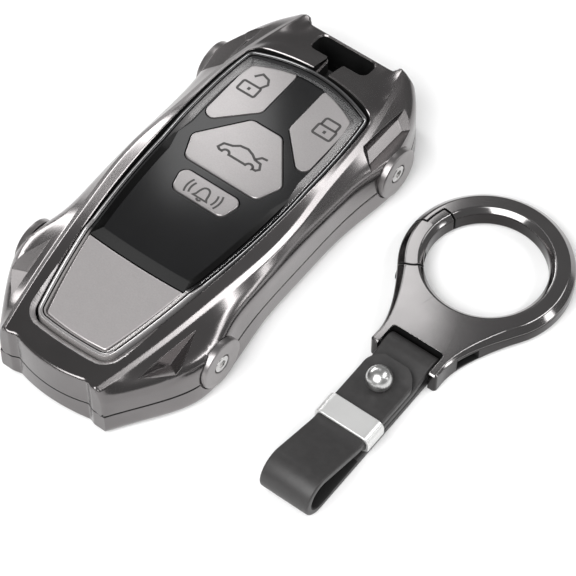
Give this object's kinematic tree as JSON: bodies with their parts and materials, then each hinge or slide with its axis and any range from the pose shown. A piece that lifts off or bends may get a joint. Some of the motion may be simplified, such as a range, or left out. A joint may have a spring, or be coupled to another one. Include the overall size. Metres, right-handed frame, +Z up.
{
  "type": "key fob cover",
  "caption": "Metal cover for a car's key fob, shaped like a low car, with press keys under its window and a leather keychain with a sprung gate ring beside it.",
  "frame": {"origin": "on the surface the cover lies on, at the middle of its length and width", "axes": "+X across the cover towards its keychain, +Y from the nose to the slotted tail, +Z up through the keys"},
  "size_m": [0.0854, 0.0917, 0.0168],
  "materials": {
    "gunmetal": "polished gunmetal plating",
    "wheel_metal": "satin gunmetal plating",
    "ring_metal": "polished gunmetal plating",
    "soft_black": "matt silicone",
    "soft_grey": "matt silicone",
    "clear_border": "clear gloss",
    "dark_gloss": "dark gloss",
    "silver_satin": "silver satin paint",
    "key_grey": "silver satin paint",
    "steel": "plain steel",
    "bright_metal": "bright plating",
    "leather": "smooth black leather"
  },
  "bodies": {
    "cover": {"upper_shell": "gunmetal", "lower_shell": "gunmetal", "key_sleeve": "soft_black", "window_trim": "clear_border", "button_panel": "dark_gloss", "front_panel": "silver_satin", "keypad_mat": "soft_grey", "wheel_caps": "wheel_metal", "wheel_screws": "steel"},
    "unlock_key": {"unlock_button": "key_grey"},
    "lock_key": {"lock_button": "key_grey"},
    "trunk_key": {"trunk_button": "key_grey"},
    "alarm_key": {"alarm_button": "key_grey"},
    "strap_set": {"strap": "leather", "slider": "bright_metal", "stud": "bright_metal", "stud_screw": "steel"},
    "ring": {"ring_body": "ring_metal", "strap_pin": "steel", "gate_pin": "steel", "gate_spring": "steel"},
    "gate": {"ring_gate": "ring_metal"}
  },
  "joints": [
    {"name": "unlock_press", "type": "slide", "parent": "cover", "child": "unlock_key", "axis": [0, 0, -1], "range_m": [0, 0.0005], "stiffness_N_per_m": 2000, "deforming": ["keypad_mat"]},
    {"name": "lock_press", "type": "slide", "parent": "cover", "child": "lock_key", "axis": [0, 0, -1], "range_m": [0, 0.0005], "stiffness_N_per_m": 2000, "deforming": ["keypad_mat"]},
    {"name": "trunk_press", "type": "slide", "parent": "cover", "child": "trunk_key", "axis": [0, 0, -1], "range_m": [0, 0.0005], "stiffness_N_per_m": 2000, "deforming": ["keypad_mat"]},
    {"name": "alarm_press", "type": "slide", "parent": "cover", "child": "alarm_key", "axis": [0, 0, -1], "range_m": [0, 0.0005], "stiffness_N_per_m": 2000, "deforming": ["keypad_mat"]},
    {"name": "keychain_place", "type": "slide", "parent": "cover", "child": "strap_set", "axis": [1, 0, 0], "range_m": [0, 0.04]},
    {"name": "ring_swing", "type": "hinge", "parent": "strap_set", "child": "ring", "pos_m": [0.04635, -0.0004, 0.00255], "axis": [1, 0, 0], "range_deg": [0, 90]},
    {"name": "gate_swing", "type": "hinge", "parent": "ring", "child": "gate", "pos_m": [0.03297, 0.01959, 0.0025], "axis": [0, 0, -1], "range_deg": [0, 25], "stiffness_Nm_per_rad": 0.02, "springref_deg": -17.19}
  ]
}
